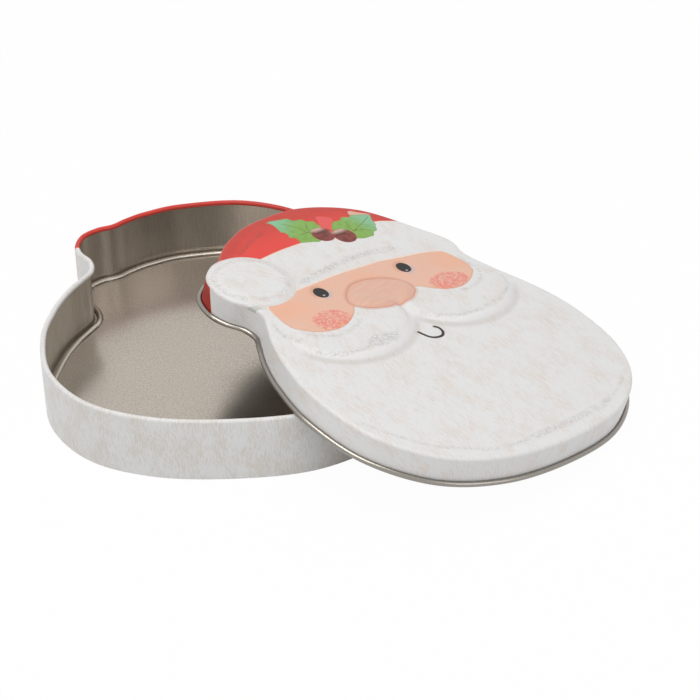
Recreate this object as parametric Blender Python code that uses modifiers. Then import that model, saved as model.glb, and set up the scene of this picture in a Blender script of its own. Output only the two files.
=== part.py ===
"""A gift tin with a slip lid, pressed from tinplate in the outline of a bearded figure's head.

Three pieces of sheet: the body's wall, its bottom plate and the lid. The lid is taken off and leans on
the body, with its beard side on the floor and its hat side on the body's rolled rim. Sizes are in
metres and +Z is up. The body stands square to the axes, and the origin is on the floor, under the
middle of the two pieces together.
"""
import math

import bmesh
import bpy
import numpy as np
from mathutils import Matrix, Vector
from mathutils.geometry import delaunay_2d_cdt

# Overall sizes, measured outside the lid's skirt
TIN_WIDTH = 0.1591
TIN_LENGTH = 0.1864
BODY_HEIGHT = 0.0299
LID_DEPTH = 0.0135

# Sheet and clearances
SHEET = 0.0003
SEAT_GAP = 0.0003
SLIP_CLEARANCE = 0.0005

# Body wall: the rim rolled inward and the foot turned inward
RIM_CURL_RADIUS = 0.0012
FOOT_RADIUS = 0.0008
FOOT_WIDTH = 0.0032

# Bottom plate: a flat seat on the foot, then a raised round bead
BEAD_SEAT = 0.0006
BEAD_RADIUS = 0.0016

# Lid: the shoulder round the top and the edge rolled outward
SHOULDER_RADIUS = 0.0016
LID_CURL_RADIUS = 0.0012

# Embossed forms on the lid: how far they rise, and how soon they fade towards the shoulder
MOUSTACHE_RISE = 0.0018
NOSE_RISE = 0.0012
POMPOM_RISE = 0.0013
EMBOSS_MARGIN = 0.0050

# How the lid lies: turned, leaning down to one side, its middle beside the body's
LID_TURN = math.radians(38.4)
LEAN_AXIS_TURN = math.radians(81.7)
STEEPEST_LEAN = math.radians(45)
LEAN_STEP = math.radians(1)
LID_PLACE_SHARES = (0.543, -0.128)

# The outline through hand-set points, as shares of the width and the length, from the beard's left
# side down and round to the hat and the pompom
OUTLINE_SHARES = [
    (-0.513, -0.076), (-0.485, -0.229), (-0.377, -0.358), (-0.205, -0.428), (0.004, -0.448),
    (0.217, -0.430), (0.380, -0.356), (0.467, -0.242), (0.487, -0.102), (0.463, 0.015),
    (0.405, 0.136), (0.377, 0.211), (0.387, 0.271), (0.336, 0.355), (0.230, 0.482),
    (0.057, 0.549), (-0.136, 0.539), (-0.243, 0.505), (-0.305, 0.471), (-0.342, 0.444),
    (-0.387, 0.428), (-0.432, 0.393), (-0.448, 0.340), (-0.435, 0.295), (-0.405, 0.256),
    (-0.400, 0.217), (-0.421, 0.183), (-0.458, 0.126), (-0.492, 0.044),
]

# Embossed ovals: middle, half width and half height as shares of the tin's width and length, then the
# part of the oval that its slope takes at the bottom and at the top. The moustache is given by its
# right lobe, and the left one mirrors it in the face's middle.
FACE_MIDDLE_SHARE = -0.008
MOUSTACHE_OVAL_SHARES = (0.195, 0.100, 0.206, 0.126)
MOUSTACHE_SLOPE_SHARES = (0.14, 0.90)
NOSE_OVAL_SHARES = (-0.019, 0.164, 0.120, 0.054)
NOSE_SLOPE_SHARES = (0.30, 0.30)
POMPOM_OVAL_SHARES = (-0.322, 0.334, 0.120, 0.099)
POMPOM_SLOPE_SHARES = (0.20, 0.20)

# How finely round shapes are cut
OUTLINE_STEPS = 3
RIM_CURL_STEPS = 9
LID_CURL_STEPS = 9
SHOULDER_STEPS = 3
FOOT_STEPS = 2
BEAD_STEPS = 6
OVAL_STEPS = 24
SMALL_OVAL_STEPS = 16
PANEL_MESH_SIZE = 0.0100
FLAT_ANGLE = math.radians(35)
LEAN_SEARCH_STEPS = 24
SEARCH_POINTS_PER_EDGE = 10
LEAST_RADIUS_SHARE = 0.001
SAME_PLACE = 0.000001


def reset_scene():
    for thing in list(bpy.data.objects):
        bpy.data.objects.remove(thing, do_unlink=True)


def new_collection(name):
    collection = bpy.data.collections.new(name)
    bpy.context.scene.collection.children.link(collection)
    return collection


def add_empty(name, collection, parent=None):
    empty = bpy.data.objects.new(name, None)
    empty.empty_display_size = BODY_HEIGHT
    empty.parent = parent
    collection.objects.link(empty)
    return empty


# Outline and sections

def closed_curve(points, steps):
    """A smooth closed curve through the points, with `steps` points to each stretch."""
    here = np.asarray(points)
    before, after, beyond = (np.roll(here, shift, axis=0) for shift in (1, -1, -2))
    rows = []
    for t in np.arange(steps) / steps:
        square = 2 * before - 5 * here + 4 * after - beyond
        cube = 3 * here - before - 3 * after + beyond
        rows.append(here + 0.5 * t * ((after - before) + t * square + t * t * cube))
    return np.stack(rows, axis=1).reshape(-1, 2)


def offset(curve, distance):
    """The closed curve moved outward by a distance."""
    along = np.roll(curve, -1, axis=0) - np.roll(curve, 1, axis=0)
    outward = np.stack([along[:, 1], -along[:, 0]], axis=1)
    outward /= np.linalg.norm(outward, axis=1)[:, None]
    return curve + distance * outward


def arc(centre, radius, start, end, steps):
    """Points on an arc, as pairs of outset and height; the angles are in degrees."""
    angles = np.radians(np.linspace(start, end, steps + 1))
    return [(centre[0] + radius * math.cos(a), centre[1] + radius * math.sin(a)) for a in angles]


def curl_end_angle(radius, clearance):
    """How far a curl turns, in degrees, before it would come nearer to its wall than the clearance."""
    return math.degrees(math.acos((radius - SHEET - clearance) / radius))


OUTLINE = closed_curve(np.array(OUTLINE_SHARES) * (TIN_WIDTH, TIN_LENGTH), OUTLINE_STEPS)
WALL_OUTSET = -SHEET - SLIP_CLEARANCE


def wall_section():
    """The printed side of the body's wall, from the inner end of the rim's curl to the foot's edge."""
    curl_centre = (WALL_OUTSET - RIM_CURL_RADIUS, BODY_HEIGHT - RIM_CURL_RADIUS)
    turn = 360 - curl_end_angle(RIM_CURL_RADIUS, SEAT_GAP)
    section = arc(curl_centre, RIM_CURL_RADIUS, turn, 0, RIM_CURL_STEPS)
    section += arc((WALL_OUTSET - FOOT_RADIUS, FOOT_RADIUS), FOOT_RADIUS, 0, -90, FOOT_STEPS)
    section.append((WALL_OUTSET - FOOT_WIDTH, 0))
    return section


def plate_section():
    """The upper side of the bottom plate, from its edge inward over the bead to the floor."""
    edge = WALL_OUTSET - SHEET - SEAT_GAP
    level = SHEET + SEAT_GAP + SHEET
    bead_centre = (edge - BEAD_SEAT - BEAD_RADIUS, level)
    return [(edge, level)] + arc(bead_centre, BEAD_RADIUS, 0, 180, BEAD_STEPS)


def lid_section():
    """The bare side of the lid, from the edge of the top panel down the skirt and round the curl."""
    inner_radius = SHOULDER_RADIUS - SHEET
    shoulder_centre = (-SHOULDER_RADIUS, LID_DEPTH - SHOULDER_RADIUS)
    curl_centre = (LID_CURL_RADIUS - SHEET, LID_CURL_RADIUS)
    turn = 540 - curl_end_angle(LID_CURL_RADIUS, SEAT_GAP)
    section = arc(shoulder_centre, inner_radius, 90, 0, SHOULDER_STEPS)
    return section + arc(curl_centre, LID_CURL_RADIUS, 180, turn, LID_CURL_STEPS)


# Embossing

def smooth(share):
    share = np.clip(share, 0, 1)
    return share * share * (3 - 2 * share)


def oval_size(shares):
    """Middle and half sizes of an oval from its shares."""
    across, up, half_width, half_height = shares
    middle = np.array((across * TIN_WIDTH, up * TIN_LENGTH))
    return middle, np.array((half_width * TIN_WIDTH, half_height * TIN_LENGTH))


def embossed_ovals():
    """Each oval as its middle, half sizes, slope shares at the bottom and top, rise and steps."""
    right_oval = MOUSTACHE_OVAL_SHARES
    left_oval = (2 * FACE_MIDDLE_SHARE - right_oval[0],) + right_oval[1:]
    return [
        oval_size(left_oval) + (MOUSTACHE_SLOPE_SHARES, MOUSTACHE_RISE, OVAL_STEPS),
        oval_size(right_oval) + (MOUSTACHE_SLOPE_SHARES, MOUSTACHE_RISE, OVAL_STEPS),
        oval_size(NOSE_OVAL_SHARES) + (NOSE_SLOPE_SHARES, NOSE_RISE, SMALL_OVAL_STEPS),
        oval_size(POMPOM_OVAL_SHARES) + (POMPOM_SLOPE_SHARES, POMPOM_RISE, SMALL_OVAL_STEPS),
    ]


def slope_share(sine, slope_shares):
    """The part of the oval's radius that its slope takes in a direction of this sine."""
    bottom, top = slope_shares
    return bottom + (top - bottom) * smooth(sine)


def distance_to(curve, point):
    """Distance from a point to a closed curve."""
    ends = np.roll(curve, -1, axis=0)
    along = ends - curve
    share = ((point - curve) * along).sum(axis=1) / (along * along).sum(axis=1)
    nearest = curve + np.clip(share, 0, 1)[:, None] * along
    return np.linalg.norm(nearest - point, axis=1).min()


def inside(curve, point):
    """Whether a point lies inside a closed curve."""
    ends = np.roll(curve, -1, axis=0)
    crossing = (curve[:, 1] > point[1]) != (ends[:, 1] > point[1])
    a, b = curve[crossing], ends[crossing]
    places = a[:, 0] + (point[1] - a[:, 1]) * (b[:, 0] - a[:, 0]) / (b[:, 1] - a[:, 1])
    return int((places > point[0]).sum()) % 2 == 1


def emboss_height(point, panel_edge):
    """How far the top panel rises at a point."""
    height = 0.0
    for middle, half, slope_shares, rise, _ in embossed_ovals():
        reach = (point - middle) / half
        radius = np.linalg.norm(reach)
        if radius < 1:
            sine = reach[1] / max(radius, LEAST_RADIUS_SHARE)
            height += rise * smooth((1 - radius) / slope_share(sine, slope_shares))
    return height * smooth(distance_to(panel_edge, point) / EMBOSS_MARGIN)


def oval_loops():
    """Foot and crest line of each embossed oval."""
    loops = []
    for middle, half, slope_shares, _, steps in embossed_ovals():
        for crest in (0, 1):
            loop = []
            for angle in np.arange(steps) * 2 * math.pi / steps:
                direction = np.array((math.cos(angle), math.sin(angle)))
                radius = 1 - crest * slope_share(direction[1], slope_shares)
                loop.append(middle + radius * half * direction)
            loops.append(loop)
    return loops


def panel_points(panel_edge):
    """Points and lines for the top panel: its edge, the ovals' lines, and a loose net between them."""
    points = list(panel_edge)
    lines = [(i, (i + 1) % len(points)) for i in range(len(points))]
    margin = PANEL_MESH_SIZE / 3
    for loop in oval_loops():
        kept = [inside(panel_edge, p) and distance_to(panel_edge, p) > margin for p in loop]
        numbers = {}
        for i, point in enumerate(loop):
            if kept[i]:
                numbers[i] = len(points)
                points.append(point)
        for i in numbers:
            following = (i + 1) % len(loop)
            if following in numbers:
                lines.append((numbers[i], numbers[following]))
    low, high = panel_edge.min(axis=0), panel_edge.max(axis=0)
    row_height = PANEL_MESH_SIZE * math.sqrt(3) / 2
    for row in range(int((high[1] - low[1]) / row_height) + 1):
        shift = PANEL_MESH_SIZE / 2 * (row % 2)
        for column in range(int((high[0] - low[0]) / PANEL_MESH_SIZE) + 1):
            point = low + (column * PANEL_MESH_SIZE + shift, row * row_height)
            clear = np.linalg.norm(np.array(points) - point, axis=1).min() > margin
            if clear and inside(panel_edge, point) and distance_to(panel_edge, point) > margin:
                points.append(point)
    return points, lines


# Meshes

def add_ring(mesh, curve, height):
    """A closed ring of edges at one height."""
    corners = [mesh.verts.new((x, y, height)) for x, y in curve]
    return [mesh.edges.new(pair) for pair in zip(corners, corners[1:] + corners[:1])]


def bridge_rings(mesh, rings):
    for upper, lower in zip(rings, rings[1:]):
        bmesh.ops.bridge_loops(mesh, edges=upper + lower)


def face_upward(mesh):
    """Turn all faces alike, with the largest level one facing up."""
    bmesh.ops.recalc_face_normals(mesh, faces=mesh.faces)
    level = max(mesh.faces, key=lambda face: face.calc_area() * abs(face.normal.z))
    if level.normal.z < 0:
        bmesh.ops.reverse_faces(mesh, faces=mesh.faces)


def finish_mesh(mesh, name, collection, parent):
    """Make an object of the mesh."""
    data = bpy.data.meshes.new(name)
    mesh.to_mesh(data)
    mesh.free()
    data.shade_smooth()
    piece = bpy.data.objects.new(name, data)
    collection.objects.link(piece)
    piece.parent = parent
    return piece


def add_sheet(piece, side):
    """Sheet thickness on one side of the surface: 1 adds it along the normals, -1 against them."""
    solidify = piece.modifiers.new("Sheet", "SOLIDIFY")
    solidify.thickness = SHEET
    solidify.offset = side
    solidify.use_even_offset = True
    solidify.use_quality_normals = True


def add_curve(name, points, closed, collection):
    """A straight-edged curve through points in the plane."""
    data = bpy.data.curves.new(name, "CURVE")
    data.dimensions = "3D"
    data.twist_mode = "Z_UP"
    spline = data.splines.new("POLY")
    spline.points.add(len(points) - 1)
    for corner, point in zip(spline.points, points):
        corner.co = (point[0], point[1], 0, 1)
    spline.use_cyclic_u = closed
    spline.use_smooth = True
    curve = bpy.data.objects.new(name, data)
    collection.objects.link(curve)
    return curve


# Materials

def tin_material(name, colour, roughness, metallic):
    material = bpy.data.materials.new(name)
    material.use_nodes = True
    shader = material.node_tree.nodes["Principled BSDF"]
    shader.inputs["Base Color"].default_value = colour + (1,)
    shader.inputs["Roughness"].default_value = roughness
    shader.inputs["Metallic"].default_value = metallic
    material.diffuse_color = colour + (1,)
    return material


def body_print():
    return tin_material("body_print", (0.74, 0.72, 0.69), 0.38, 0.0)


def lid_print():
    return tin_material("lid_print", (0.76, 0.75, 0.73), 0.34, 0.0)


def bare_tinplate():
    return tin_material("bare_tinplate", (0.52, 0.48, 0.43), 0.32, 1.0)


# Pieces

def make_body_wall(collection, guides, parent):
    """One strip bent round the outline: its section swept along the outline, then thickened inward."""
    section = add_curve("wall_section", wall_section(), False, guides)
    section.hide_render = True
    section.display_type = "WIRE"
    wall = add_curve("body_wall", OUTLINE, True, collection)
    wall.data.bevel_mode = "OBJECT"
    wall.data.bevel_object = section
    wall.parent = parent
    add_sheet(wall, -1)
    wall.data.materials.append(body_print())
    return wall


def make_bottom_plate(collection, parent):
    mesh = bmesh.new()
    rings = [add_ring(mesh, offset(OUTLINE, outset), height) for outset, height in plate_section()]
    bridge_rings(mesh, rings)
    bmesh.ops.contextual_create(mesh, geom=rings[-1])
    face_upward(mesh)
    plate = finish_mesh(mesh, "bottom_plate", collection, parent)
    add_sheet(plate, -1)
    plate.data.materials.append(bare_tinplate())
    return plate


def make_lid(collection, parent):
    section = lid_section()
    panel_edge = offset(OUTLINE, section[0][0])
    ceiling = section[0][1]
    points, lines = panel_points(panel_edge)
    flat_points = [Vector(point) for point in points]
    border = list(range(len(panel_edge)))
    places, _, faces, sources, _, _ = delaunay_2d_cdt(flat_points, lines, [border], 1, SAME_PLACE)

    mesh = bmesh.new()
    corners = []
    edge_corners = {}
    for place, source in zip(places, sources):
        on_edge = [number for number in source if number < len(border)]
        rise = 0 if on_edge else emboss_height(np.array(place), panel_edge)
        corners.append(mesh.verts.new((place.x, place.y, ceiling + rise)))
        for number in on_edge:
            edge_corners[number] = corners[-1]
    for face in faces:
        mesh.faces.new([corners[number] for number in face])
    first = [mesh.edges.get((edge_corners[i], edge_corners[(i + 1) % len(border)])) for i in border]
    rings = [first] + [add_ring(mesh, offset(OUTLINE, outset), height) for outset, height in section[1:]]
    bridge_rings(mesh, rings)
    face_upward(mesh)
    lid = finish_mesh(mesh, "lid", collection, parent)
    add_sheet(lid, 1)
    lid.data.materials.append(lid_print())
    return lid


# Placing the lid

def line_points(outset, height):
    """Points along the middle of a curl, close together, on the straight facets between its corners."""
    corners = offset(OUTLINE, outset)
    ends = np.roll(corners, -1, axis=0)
    shares = np.arange(SEARCH_POINTS_PER_EDGE) / SEARCH_POINTS_PER_EDGE
    flat = (corners[:, None] + shares[None, :, None] * (ends - corners)[:, None]).reshape(-1, 2)
    return np.column_stack([flat, np.full(len(flat), height)])


def lid_matrix(lean):
    """The lid's turn, then its lean, then its place with the lowest point of the curl on the floor."""
    turn = Matrix.Rotation(LID_TURN, 3, "Z")
    axis = Vector((math.cos(LEAN_AXIS_TURN), math.sin(LEAN_AXIS_TURN), 0))
    rotation = Matrix.Rotation(lean, 3, axis) @ turn
    heights = []
    for outset, height in lid_section():
        ring = np.column_stack([offset(OUTLINE, outset), np.full(len(OUTLINE), height)])
        heights.append((ring @ np.array(rotation).T)[:, 2].min())
    place = Vector((LID_PLACE_SHARES[0] * TIN_WIDTH, LID_PLACE_SHARES[1] * TIN_LENGTH, -min(heights)))
    return Matrix.Translation(place) @ rotation.to_4x4()


def curl_distance(lean):
    """Least distance between the middle of the lid's curl and the middle of the body's rim."""
    matrix = np.array(lid_matrix(lean))
    lid_line = line_points(LID_CURL_RADIUS - SHEET, LID_CURL_RADIUS) @ matrix[:3, :3].T + matrix[:3, 3]
    rim_line = line_points(WALL_OUTSET - RIM_CURL_RADIUS, BODY_HEIGHT - RIM_CURL_RADIUS)
    near = lid_line[np.abs(lid_line[:, 2] - BODY_HEIGHT) < 6 * (LID_CURL_RADIUS + RIM_CURL_RADIUS)]
    if not len(near):
        return BODY_HEIGHT
    return np.linalg.norm(near[:, None] - rim_line[None], axis=2).min()


def resting_lean():
    """The lean at which the lid, standing on the floor, comes down on the body's rim."""
    clear = LID_CURL_RADIUS + RIM_CURL_RADIUS + SEAT_GAP
    steep = STEEPEST_LEAN
    while steep > LEAN_STEP and curl_distance(steep - LEAN_STEP) > clear:
        steep -= LEAN_STEP
    shallow = steep - LEAN_STEP
    for _ in range(LEAN_SEARCH_STEPS):
        middle = 0.5 * (steep + shallow)
        if curl_distance(middle) > clear:
            steep = middle
        else:
            shallow = middle
    return steep


def centre_on_origin(root, pieces):
    """Move everything so that the origin lies on the floor under the middle of the whole."""
    bpy.context.view_layer.update()
    depsgraph = bpy.context.evaluated_depsgraph_get()
    corners = []
    for piece in pieces:
        shape = piece.evaluated_get(depsgraph)
        mesh = shape.to_mesh()
        corners += [shape.matrix_world @ vertex.co for vertex in mesh.vertices]
        shape.to_mesh_clear()
    corners = np.array(corners)
    low, high = corners.min(axis=0), corners.max(axis=0)
    root.location = (-0.5 * (low[0] + high[0]), -0.5 * (low[1] + high[1]), -low[2])


def main():
    reset_scene()
    tin = new_collection("decorative_tin")
    guides = new_collection("guides")
    root = add_empty("tin", tin)
    lid_place = add_empty("lid_place", tin, root)
    lid_place.matrix_local = lid_matrix(resting_lean())
    wall = make_body_wall(tin, guides, root)
    plate = make_bottom_plate(tin, root)
    lid = make_lid(tin, lid_place)
    for piece in (plate, lid):
        piece.data.set_sharp_from_angle(angle=FLAT_ANGLE)
    centre_on_origin(root, [wall, plate, lid])


main()
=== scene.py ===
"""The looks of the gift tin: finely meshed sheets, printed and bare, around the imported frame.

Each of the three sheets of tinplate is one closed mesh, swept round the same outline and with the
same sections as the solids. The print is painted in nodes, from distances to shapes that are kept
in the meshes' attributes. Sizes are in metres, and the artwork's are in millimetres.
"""
import math

import bmesh
import bpy
import numpy as np
from mathutils import Matrix, Vector
from mathutils.geometry import delaunay_2d_cdt
from mathutils.kdtree import KDTree


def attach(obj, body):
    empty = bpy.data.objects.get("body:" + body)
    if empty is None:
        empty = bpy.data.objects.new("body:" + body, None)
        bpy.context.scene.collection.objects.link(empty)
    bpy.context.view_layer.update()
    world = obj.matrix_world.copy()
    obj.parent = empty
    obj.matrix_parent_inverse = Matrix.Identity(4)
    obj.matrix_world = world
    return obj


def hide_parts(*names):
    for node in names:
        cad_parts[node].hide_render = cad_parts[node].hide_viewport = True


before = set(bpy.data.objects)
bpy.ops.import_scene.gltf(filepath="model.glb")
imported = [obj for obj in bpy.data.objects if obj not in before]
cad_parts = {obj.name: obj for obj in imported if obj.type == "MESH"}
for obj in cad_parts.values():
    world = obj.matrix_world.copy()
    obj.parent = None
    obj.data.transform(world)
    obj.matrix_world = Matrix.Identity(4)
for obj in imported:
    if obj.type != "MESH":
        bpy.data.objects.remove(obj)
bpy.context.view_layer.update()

MM = 0.001
LEAST_SQUARE = MM * MM * MM

# Sizes of the solids
TIN_WIDTH = 0.1591
TIN_LENGTH = 0.1864
BODY_HEIGHT = 0.0299
LID_DEPTH = 0.0135
SHEET = 0.0003
SEAT_GAP = 0.0003
SLIP_CLEARANCE = 0.0005
RIM_CURL_RADIUS = 0.0012
FOOT_RADIUS = 0.0008
FOOT_WIDTH = 0.0032
BEAD_SEAT = 0.0006
BEAD_RADIUS = 0.0016
SHOULDER_RADIUS = 0.0016
LID_CURL_RADIUS = 0.0012
MOUSTACHE_RISE = 0.0018
NOSE_RISE = 0.0012
POMPOM_RISE = 0.0013
EMBOSS_MARGIN = 0.0050

# Where the body stands, and where and how the lid leans on it
BODY_PLACE = (-0.0476739, 0.0066709, 0)
LID_PLACE = (0.0387174, -0.0171883, 0.0193205)
LID_TURN = math.radians(38.4)
LID_LEAN = math.radians(12.287941)
LEAN_AXIS_TURN = math.radians(81.7)

OUTLINE_SHARES = [
    (-0.513, -0.076), (-0.485, -0.229), (-0.377, -0.358), (-0.205, -0.428), (0.004, -0.448),
    (0.217, -0.430), (0.380, -0.356), (0.467, -0.242), (0.487, -0.102), (0.463, 0.015),
    (0.405, 0.136), (0.377, 0.211), (0.387, 0.271), (0.336, 0.355), (0.230, 0.482),
    (0.057, 0.549), (-0.136, 0.539), (-0.243, 0.505), (-0.305, 0.471), (-0.342, 0.444),
    (-0.387, 0.428), (-0.432, 0.393), (-0.448, 0.340), (-0.435, 0.295), (-0.405, 0.256),
    (-0.400, 0.217), (-0.421, 0.183), (-0.458, 0.126), (-0.492, 0.044),
]

# Embossed ovals: middle and half sizes as shares of the width and the length, then the part of the
# oval that its slope takes at the bottom and at the top
FACE_MIDDLE_SHARE = -0.008
MOUSTACHE_OVAL_SHARES = (0.195, 0.100, 0.206, 0.126)
MOUSTACHE_SLOPE_SHARES = (0.14, 0.90)
NOSE_OVAL_SHARES = (-0.019, 0.164, 0.120, 0.054)
NOSE_SLOPE_SHARES = (0.30, 0.30)
POMPOM_OVAL_SHARES = (-0.322, 0.334, 0.120, 0.099)
POMPOM_SLOPE_SHARES = (0.20, 0.20)

# How finely round shapes are cut
OUTLINE_STEPS = 14
CURL_STEPS = 20
SHOULDER_STEPS = 8
FOOT_STEPS = 6
BEAD_STEPS = 14
CURVE_STEPS = 6

# Nets of the flat panels: spacing where they are plain, embossed or finely printed
PLAIN_SPACING = 0.0016
EMBOSSED_SPACING = 0.0009
FINE_SPACING = 0.0006
UNDERSIDE_SPACING = 0.0024
FLOOR_SPACING = 0.0060
SPACINGS = (FINE_SPACING, EMBOSSED_SPACING, PLAIN_SPACING, UNDERSIDE_SPACING, FLOOR_SPACING)

# How near a net comes to the closer nets, as a share of its own spacing
NET_GAP_SHARE = 0.6

# How far closer nets reach past a slope, as shares of it inward and outward, and past fine print
SLOPE_MARGINS = (1.5, 0.3)
FINE_MARGIN_MM = 1.0
SMILE_MARGIN_MM = 1.5

# A floor's waves: their height and length, then the direction and the closeness of each set
FLOOR_WAVE = 0.00004
FLOOR_WAVE_LENGTH = 0.055
FLOOR_WAVES = ((0.3, 1.0), (1.4, 1.4), (2.3, 0.8))

SHARP_ANGLE = math.radians(50)

# Artwork, in millimetres from the middle of the lid, with the beard down and the hat up. An oval is
# given by its middle and its half sizes. The hat is all that lies above its edge, which slants down
# the lid's skirt and lies lower on the body.
HAT_EDGE_MM = [
    (-130.0, 63.0), (-90.0, 66.0), (-71.0, 69.0), (-62.0, 70.0), (-50.0, 72.2), (-35.9, 74.9),
    (-23.3, 76.8), (-10.6, 77.6), (8.0, 78.2), (24.0, 78.2), (36.8, 77.6), (42.0, 76.1),
    (50.0, 72.5), (62.0, 67.0), (130.0, 60.0),
]
HAT_TOP_MM = [(130.0, 150.0), (-130.0, 150.0)]
HAT_SKIRT_SLANT = 0.45
BODY_HAT_SHIFT_MM = 9.0
HAT_LINE_MM = [(-42.4, 81.6), (-37.5, 84.6), (-32.2, 87.5), (-26.1, 90.1), (-20.9, 91.6)]
FACE_MM = [
    (-57.3, 44.6), (-59.0, 38.4), (-59.2, 31.0), (-58.2, 24.2), (-55.4, 21.0), (-51.7, 18.7),
    (-47.2, 17.2), (-42.8, 16.8), (-37.6, 17.2), (-33.0, 19.0), (-28.6, 21.7), (-25.3, 24.4),
    (-22.0, 27.5), (-14.0, 28.0), (-3.0, 27.0), (8.0, 27.0), (14.6, 26.7), (19.7, 22.8),
    (22.9, 20.5), (26.4, 18.7), (30.8, 17.6), (35.1, 17.5), (39.1, 18.2), (43.9, 20.2),
    (47.9, 22.8), (51.1, 25.8), (53.8, 31.0), (53.7, 34.2), (53.0, 36.9), (51.7, 41.2),
    (49.1, 45.0), (39.3, 47.6), (26.4, 49.1), (15.3, 50.7), (8.3, 50.7), (-3.7, 50.8),
    (-16.4, 50.3), (-28.9, 49.2), (-39.7, 48.4), (-50.0, 47.5),
]
POMPOM_MM = [(-51.3, 62.3, 19.4, 18.7), (-54.5, 63.5, 18.5, 17.5)]
NOSE_MM = [
    (-19.3, 36.6), (-12.8, 41.5), (-6.1, 42.8), (1.1, 41.8), (7.7, 39.5), (12.4, 35.7),
    (13.8, 30.5), (12.8, 25.2), (10.0, 22.4), (6.8, 20.6), (3.0, 19.8), (-2.6, 20.0), (-8.2, 19.6),
    (-16.7, 21.9), (-21.6, 25.4), (-22.9, 30.5),
]
EYES_MM = [(-28.5, 42.7, 3.5, 3.8), (22.1, 42.2, 3.5, 3.8)]
EYE_LIGHTS_MM = [(-28.5, 40.6, 0.7, 0.5), (21.9, 39.9, 0.7, 0.5)]
EYE_SHADE_TURN = math.radians(-50)
CHEEKS_MM = [(-39.2, 22.9, 9.8, 7.8), (33.3, 23.9, 10.8, 6.4)]
SMILE_MM = [
    (-7.9, 1.2), (-6.9, -1.3), (-5.8, -3.4), (-4.1, -4.8), (-1.7, -5.5), (0.3, -5.4), (1.9, -4.5),
    (3.0, -3.0), (3.3, -1.1), (2.8, 0.3), (1.8, 1.2),
]
SMILE_HALF_WIDTH_MM = 0.68

# Pencil marks: lines beside the face and round the moustache, an oval of hatching, two longer lines
PENCIL_LINES_MM = [
    [(-63.0, 35.4), (-64.8, 30.7), (-65.3, 26.2), (-64.3, 21.6), (-63.0, 17.5)],
    [(-57.2, 19.7), (-52.9, 16.2), (-46.8, 13.4), (-39.9, 13.3), (-33.2, 15.0), (-27.5, 18.0)],
    [
        (54.0, 38.1), (54.9, 33.7), (54.5, 27.5), (51.1, 20.9), (46.0, 16.9), (39.0, 15.3),
        (32.8, 15.0),
    ],
    [
        (2.7, 10.4), (6.3, 6.7), (11.5, 3.6), (17.7, 1.3), (23.6, 0.7), (30.0, 0.6), (38.0, 2.0),
        (45.0, 2.4), (51.0, 5.4), (55.3, 7.9),
    ],
    [
        (-60.8, 8.6), (-57.5, 5.4), (-53.9, 3.2), (-48.9, 1.5), (-42.5, 1.1), (-36.4, 1.4),
        (-30.6, 1.3), (-23.8, 2.2), (-18.8, 3.8),
    ],
]
HATCHING_MM = (-28.0, 2.6, 8.0, 3.0)
FUR_LINE_MM = [
    (-30.6, 52.3), (-21.5, 54.7), (-12.1, 56.3), (-3.6, 57.7), (5.2, 58.3), (13.6, 58.3),
    (28.1, 56.6),
]
BEARD_LINE_MM = [
    (-75.3, -35.4), (-72.0, -41.4), (-66.9, -49.1), (-58.6, -59.8), (-48.9, -65.7), (-36.9, -72.9),
    (-25.9, -74.9), (-12.2, -75.3), (8.4, -75.4), (21.8, -74.6), (32.1, -73.6), (46.7, -69.1),
    (60.5, -61.5),
]

# Holly: each leaf is a row of curves that meet at its spines, and then come its root and its tip
LEAVES_MM = [
    [
        [(-14.7, 97.3), (-11.9, 97.8), (-9.0, 97.4), (-6.0, 97.0), (-3.4, 96.7), (-2.0, 96.1)],
        [(-2.0, 96.1), (-1.6, 94.9), (-0.3, 93.7), (2.0, 93.6), (3.3, 93.4)],
        [(3.3, 93.4), (4.2, 92.3), (4.9, 90.8), (6.9, 90.3), (8.1, 89.5)],
        [(8.1, 89.5), (8.2, 88.0), (8.1, 86.3), (8.3, 84.8), (4.9, 79.1)],
        [(4.9, 79.1), (-0.2, 75.1), (-4.2, 76.1), (-6.4, 76.7), (-8.8, 77.3), (-10.2, 77.8)],
        [(-10.2, 77.8), (-10.0, 78.6), (-9.4, 80.4), (-9.9, 82.0), (-11.2, 82.7), (-12.3, 83.3)],
        [(-12.3, 83.3), (-11.5, 84.7), (-11.3, 86.4), (-12.0, 87.7), (-13.3, 88.4)],
        [(-13.3, 88.4), (-12.8, 89.8), (-12.7, 91.8), (-12.6, 94.2), (-13.4, 96.1), (-14.7, 97.3)],
    ],
    [
        [(14.2, 74.1), (11.8, 79.8), (13.1, 82.1), (15.0, 84.1), (17.1, 85.7)],
        [(17.1, 85.7), (18.6, 85.5), (21.3, 85.4), (23.0, 86.9)],
        [(23.0, 86.9), (25.1, 86.7), (26.9, 85.6), (28.8, 86.9)],
        [(28.8, 86.9), (32.0, 86.1), (36.4, 84.3), (38.6, 83.1)],
        [(38.6, 83.1), (37.7, 81.5), (36.5, 79.2), (35.8, 76.6), (35.5, 75.6)],
        [(35.5, 75.6), (34.0, 74.1), (32.4, 71.5), (30.6, 71.2)],
        [(30.6, 71.2), (29.3, 70.4), (27.8, 68.5)],
        [(27.8, 68.5), (25.4, 68.5), (21.9, 68.5), (18.2, 69.8), (16.6, 70.8), (14.2, 74.1)],
    ],
]
LEAF_AXES_MM = [((-0.1, 80.0), (-14.7, 97.3)), ((17.0, 75.0), (38.6, 83.1))]
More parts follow.
